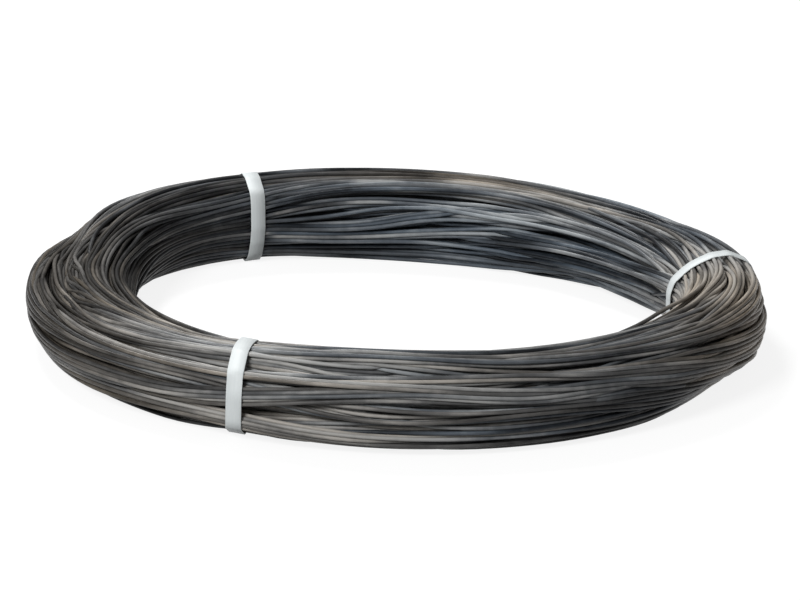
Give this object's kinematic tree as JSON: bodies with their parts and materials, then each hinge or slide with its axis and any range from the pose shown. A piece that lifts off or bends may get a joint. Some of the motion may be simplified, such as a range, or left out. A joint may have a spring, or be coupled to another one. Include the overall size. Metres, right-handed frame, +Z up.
{
  "type": "coil of black annealed wire",
  "caption": "Flat ring-shaped coil of dark annealed steel wire, wound in many loose turns round an open bore and tied with white plastic straps.",
  "frame": {"origin": "on the floor, on the axis of the coil", "axes": "+Z up along the axis of the coil, -Y towards the side seen in front in the picture, +X to its right"},
  "size_m": [0.5399, 0.54, 0.06],
  "materials": {
    "wire": "black annealed oxide, satin",
    "strap": "white polypropylene strapping, satin"
  },
  "bodies": {
    "root": {"wire_coil": "wire", "strap_right": "strap", "strap_back": "strap", "strap_front": "strap"}
  },
  "joints": []
}
